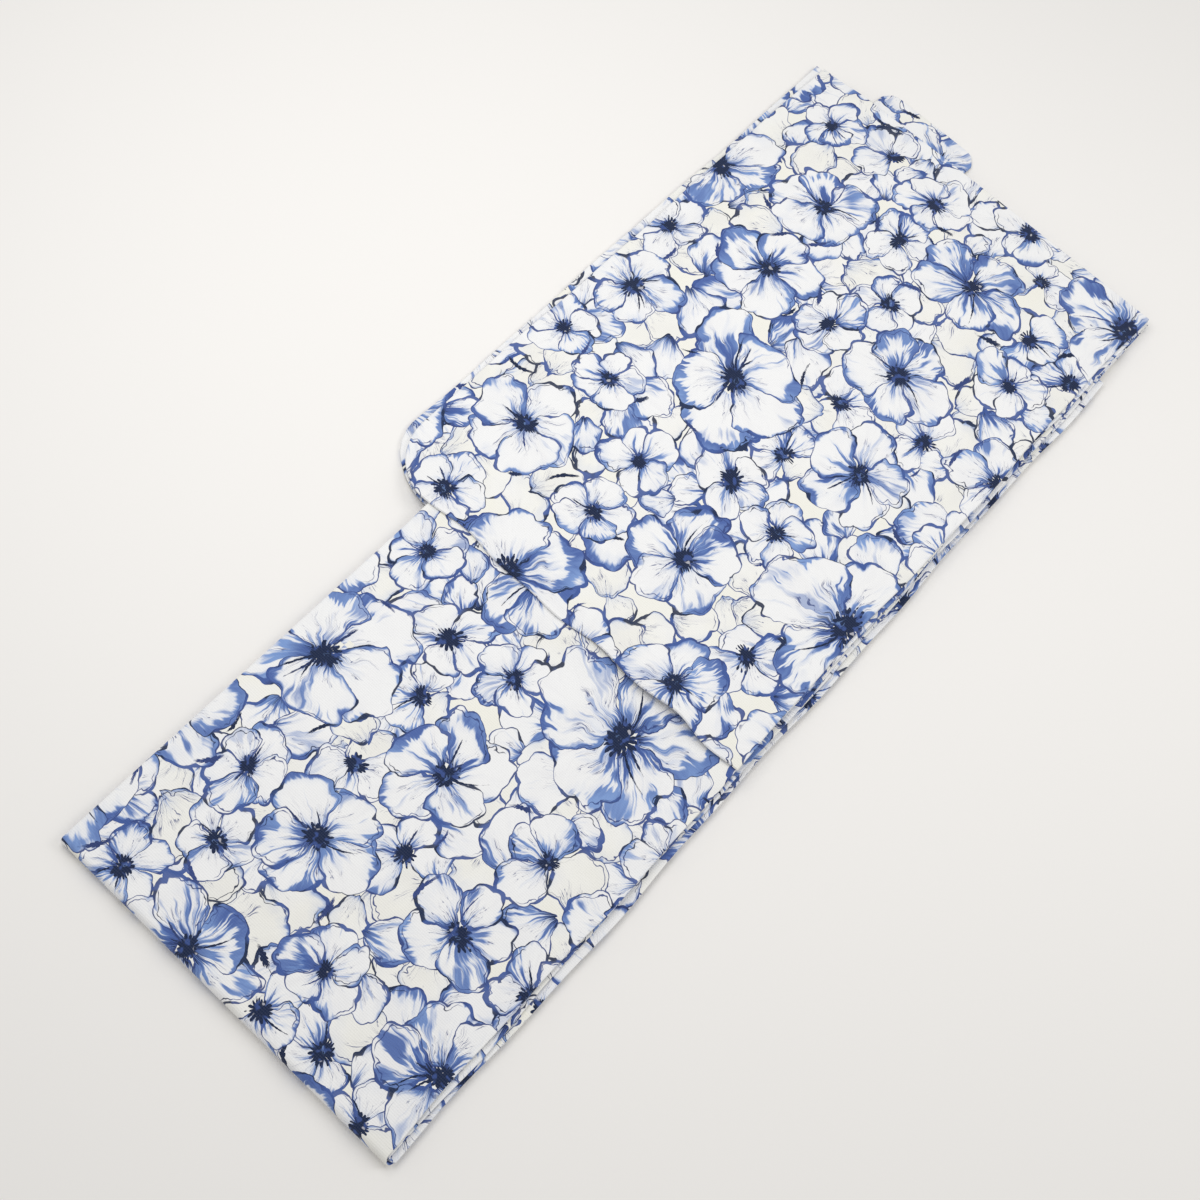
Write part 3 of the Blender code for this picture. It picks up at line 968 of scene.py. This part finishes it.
class YUKATA_OT_left_body(Piece, bpy.types.Operator):
    """Left body: the back against the left sleeve, and its front inside"""

    bl_idname = "yukata.left_body"
    bl_label = "Left Body"

    def lay(self, context, cut, fold):
        grids = body_grids(fold, True, LEFT_BODY_STEP, 2.9, STARTS["left_body"], HIDDEN_SPACING)
        dress(context, "left_body_cloth", grids, "left_body", fold.body_flat)


class YUKATA_OT_overlaps(Piece, bpy.types.Operator):
    """The two overlap panels, which lie between the fronts"""

    bl_idname = "yukata.overlaps"
    bl_label = "Overlap Panels"

    def lay(self, context, cut, fold):
        steps = OVERLAP_STEPS
        x = np.linspace(-cut.front_width, cut.overlap_width - cut.front_width, steps["across"])[None, :]
        knee = np.linspace(fold.run, fold.below, steps["knee"])
        upper = np.linspace(OVERLAP_IN["shoulder"], fold.run, steps["upper"])[:-1]
        lower = np.linspace(fold.below, fold.end - OVERLAP_IN["hem"], steps["lower"])[1:]
        s = np.concatenate([upper, knee, lower])[:, None]
        flat = (cut.overlap_width, fold.end)
        for side, depth in OVERLAP_DEPTHS.items():
            points = fold.on_body(x, s, 2 * cut.roll + depth + 0.0 * x)
            grids = [(points, cloth_places(x, s, STARTS[f"{side}_overlap"]), False)]
            dress(context, f"{side}_overlap_cloth", grids, "hidden_fronts", flat)


def sleeve_grids(fold, floor, cuff, armhole, phase, start, spacing, bumps=None):
    """A flat sleeve: two faces joined at the shoulder, armhole and lower edge."""
    cut = fold.cut
    roll = SLEEVE_STACK / 2 - GAP
    corner = cut.sleeve_corner
    xs, rolls_x = places(cuff, armhole, spacing, low_roll=roll, high_roll=roll)
    ys, rolls_y = places(-cut.sleeve_length, 0.0, spacing, low_roll=roll, high_roll=roll)
    bend = np.linspace(0.0, math.pi / 2, BEND_STEPS)
    rounded = -cut.sleeve_length + corner * (1.0 - np.cos(bend[1:]))
    keep = (ys < -cut.sleeve_length + roll * 1.01) | (ys > rounded[-1] + 0.001)
    order = np.argsort(np.concatenate([ys[keep], rounded]), kind="stable")
    rolls_y = np.concatenate([rolls_y[keep], np.zeros(len(rounded))])[order]
    ys = np.concatenate([ys[keep], rounded])[order]
    up = np.clip((ys + cut.sleeve_length) / corner, 0.0, 1.0)
    cuff_line = cuff + corner * (1.0 - np.sqrt(1.0 - (1.0 - up) ** 2))
    rolls_x, rolls_y = rolls_x[None, :], rolls_y[:, None]
    share = ((xs - cuff) / (armhole - cuff))[None, :]
    y = ys[:, None]
    x = xs[None, :] + (cuff_line - cuff)[:, None] * np.clip(1.0 - share * 3.0, 0.0, 1.0)
    x = x + wander(EDGE_WAVES, y, phase) * (0.6 + 0.4 * share)
    open_cuff = (y > -cut.cuff_opening) & (rolls_x > 0.9) & (share < 0.5)
    hem = hump(y, -cut.sleeve_length, HEM_SPREAD)
    y = y + hem * wander(HEM_WAVES, x, phase)
    y = y + hem * TUCK * hump(x, -TUCK_PLACE, TUCK_SPREAD)
    deep = sunk(roll, rolls_x, rolls_y)
    deep = np.where(open_cuff, deep - CUFF_OPEN, deep)
    base = floor(x, y) + (SLEEVE_STACK / 2 - roll)
    raised = 0.0 if bumps is None else bumps(x, y) * (1.0 - np.maximum(rolls_x, rolls_y))
    pressed = 1.0 - PRESSED * hump(y, -cut.sleeve_length, PRESSED_SPREAD)
    upper = fold.world(x, y, base + (2 * roll - deep) * pressed + raised)
    lower = fold.world(x, y, base + deep * pressed)
    return [
        (upper, cloth_places(x, y, start), False),
        (lower, cloth_places(x, y, shifted(start, UNDER_FROM_TOP)), True),
    ]


class YUKATA_OT_right_sleeve(Piece, bpy.types.Operator):
    """Right sleeve, turned back over the upper half"""

    bl_idname = "yukata.right_sleeve"
    bl_label = "Right Sleeve"

    def lay(self, context, cut, fold):
        def bumps(x, y):
            height = creases("sleeve", x, y) + drift(x, y, 1.3)
            inner = ease(-x / SLEEVE_EASE) * ease((x + cut.sleeve_width) / SLEEVE_EASE)
            inner = inner * ease(-y / SLEEVE_EASE)
            return height * inner * ease((y + cut.sleeve_length) / SLEEVE_EASE)

        ends = (-cut.sleeve_width, -RIGHT_SLEEVE_IN)
        start = STARTS["right_sleeve"]
        grids = sleeve_grids(fold, fold.right_sleeve_floor, *ends, 0.9, start, SLEEVE_SPACING, bumps)
        dress(context, "right_sleeve_cloth", grids, "right_sleeve", fold.sleeve_flat)


class YUKATA_OT_left_sleeve(Piece, bpy.types.Operator):
    """Left sleeve, between the upper and the lower half"""

    bl_idname = "yukata.left_sleeve"
    bl_label = "Left Sleeve"

    def lay(self, context, cut, fold):
        ends = (-cut.sleeve_width - LEFT_SLEEVE_OUT, LEFT_BODY_STEP)
        start = STARTS["left_sleeve"]
        grids = sleeve_grids(fold, fold.left_sleeve_floor, *ends, 4.2, start, HIDDEN_SPACING)
        dress(context, "left_sleeve_cloth", grids, "left_sleeve", fold.sleeve_flat)


class YUKATA_OT_collar(Piece, bpy.types.Operator):
    """The collar's folded band at the shoulder end"""

    bl_idname = "yukata.collar"
    bl_label = "Collar"

    def lay(self, context, cut, fold):
        roll = SLEEVE_STACK / 2 - COLLAR_IN
        start = -cut.back_width + COLLAR_START
        end = start + cut.collar_width
        xs, rolls_x = places(start, end, COLLAR_ACROSS, low_roll=roll, high_roll=roll)
        ys, rolls_y = places(GAP, cut.collar_reach, COLLAR_ALONG, high_roll=roll)
        x, y = xs[None, :], ys[:, None]
        share = (y - GAP) / (cut.collar_reach - GAP)
        from_end = np.minimum(x - start, end - x) / COLLAR_CORNER
        y = y - share * (COLLAR_CORNER * np.clip(1.0 - from_end, 0, 1) ** 2)
        base = fold.upper_floor(start, 0.0) * (1.0 - ease(share * 1.04))
        deep = sunk(roll, rolls_x[None, :], rolls_y[:, None])
        upper = fold.world(x, y, base + COLLAR_IN + 2 * roll - deep)
        lower = fold.world(x, y, base + COLLAR_IN + deep)
        grids = [
            (upper, cloth_places(x, y, STARTS["collar"]), False),
            (lower, cloth_places(x, y, STARTS["collar_under"]), True),
        ]
        flat = (cut.collar_width, 2 * cut.collar_reach)
        dress(context, "collar_cloth", grids, "collar", flat)


def set_inputs(node, values):
    for name, value in values.items():
        node.inputs[name].default_value = value


def lay_floor(scene):
    """A plain pale floor."""
    paint = bpy.data.materials.new("floor_paint")
    paint.use_nodes = True
    set_inputs(paint.node_tree.nodes["Principled BSDF"], FLOOR_LOOKS)
    mesh = bpy.data.meshes.new("floor")
    ways = ((-1, -1), (1, -1), (1, 1), (-1, 1))
    ends = [(x * FLOOR_HALF, y * FLOOR_HALF, FLOOR_LEVEL) for x, y in ways]
    mesh.from_pydata(ends, [], [(0, 1, 2, 3)])
    mesh.materials.append(paint)
    floor = bpy.data.objects.new("floor", mesh)
    scene.collection.objects.link(floor)


def aim_camera(scene):
    """The camera at the photo's angle to the folded robe."""
    view = scene.yukata_view
    data = bpy.data.cameras.new("camera")
    data.lens = view.lens
    camera = bpy.data.objects.new("camera", data)
    scene.collection.objects.link(camera)
    level, height = math.cos(view.elevation), math.sin(view.elevation)
    back = Vector((level * math.sin(view.azimuth), -level * math.cos(view.azimuth), height))
    aim = (-back).to_track_quat("-Z", "Y").to_matrix() @ Matrix.Rotation(view.roll, 3, "Z")
    camera.rotation_mode = "QUATERNION"
    camera.rotation_quaternion = aim.to_quaternion()
    camera.location = Vector((view.target_x, view.target_y, 0.0)) + back * view.distance
    scene.camera = camera


def light_room(scene):
    """Soft light from two windows and the room's pale walls."""
    for name, (place, target, power) in LAMPS.items():
        lamp = bpy.data.lights.new(name, "AREA")
        lamp.size = LAMP_SIZE
        lamp.energy = power
        light = bpy.data.objects.new(name, lamp)
        scene.collection.objects.link(light)
        light.location = place
        light.rotation_euler = (Vector(target) - Vector(place)).to_track_quat("-Z", "Y").to_euler()
    world = bpy.data.worlds.new("room")
    world.use_nodes = True
    set_inputs(world.node_tree.nodes["Background"], ROOM_LOOKS)
    scene.world = world
    scene.view_settings.view_transform = "Standard"


class YUKATA_OT_stage(bpy.types.Operator):
    """Camera, soft light and a plain pale floor"""

    bl_idname = "yukata.stage"
    bl_label = "Stage"

    def execute(self, context):
        lay_floor(context.scene)
        aim_camera(context.scene)
        light_room(context.scene)
        return {"FINISHED"}


class YUKATA_PT_panel(bpy.types.Panel):
    bl_label = "Folded Yukata"
    bl_idname = "YUKATA_PT_panel"
    bl_space_type = "VIEW_3D"
    bl_region_type = "UI"
    bl_category = "Yukata"

    def draw(self, context):
        for name, group in GROUPS.items():
            box = self.layout.box()
            for field in group.__annotations__:
                box.prop(getattr(context.scene, name), field)
        for operator in OPERATORS:
            self.layout.operator(operator.bl_idname)


OPERATORS = (
    YUKATA_OT_stage,
    YUKATA_OT_right_body,
    YUKATA_OT_left_body,
    YUKATA_OT_overlaps,
    YUKATA_OT_right_sleeve,
    YUKATA_OT_left_sleeve,
    YUKATA_OT_collar,
)
GROUPS = {"yukata_cut": CutSizes, "yukata_colors": PrintColors, "yukata_view": ViewSizes}


def register():
    for name, group in GROUPS.items():
        bpy.utils.register_class(group)
        setattr(bpy.types.Scene, name, bpy.props.PointerProperty(type=group))
    for item in (*OPERATORS, YUKATA_PT_panel):
        bpy.utils.register_class(item)


def unregister():
    for item in (*OPERATORS, YUKATA_PT_panel):
        bpy.utils.unregister_class(item)
    for name, group in GROUPS.items():
        delattr(bpy.types.Scene, name)
        bpy.utils.unregister_class(group)


def main():
    register()
    for old in list(bpy.data.objects):
        if old.name in ("Cube", "Light", "Camera"):
            bpy.data.objects.remove(old)
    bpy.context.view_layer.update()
    bpy.ops.yukata.stage()
    bpy.ops.yukata.right_body()
    bpy.ops.yukata.left_body()
    bpy.ops.yukata.overlaps()
    bpy.ops.yukata.right_sleeve()
    bpy.ops.yukata.left_sleeve()
    bpy.ops.yukata.collar()


if __name__ == "__main__":
    main()
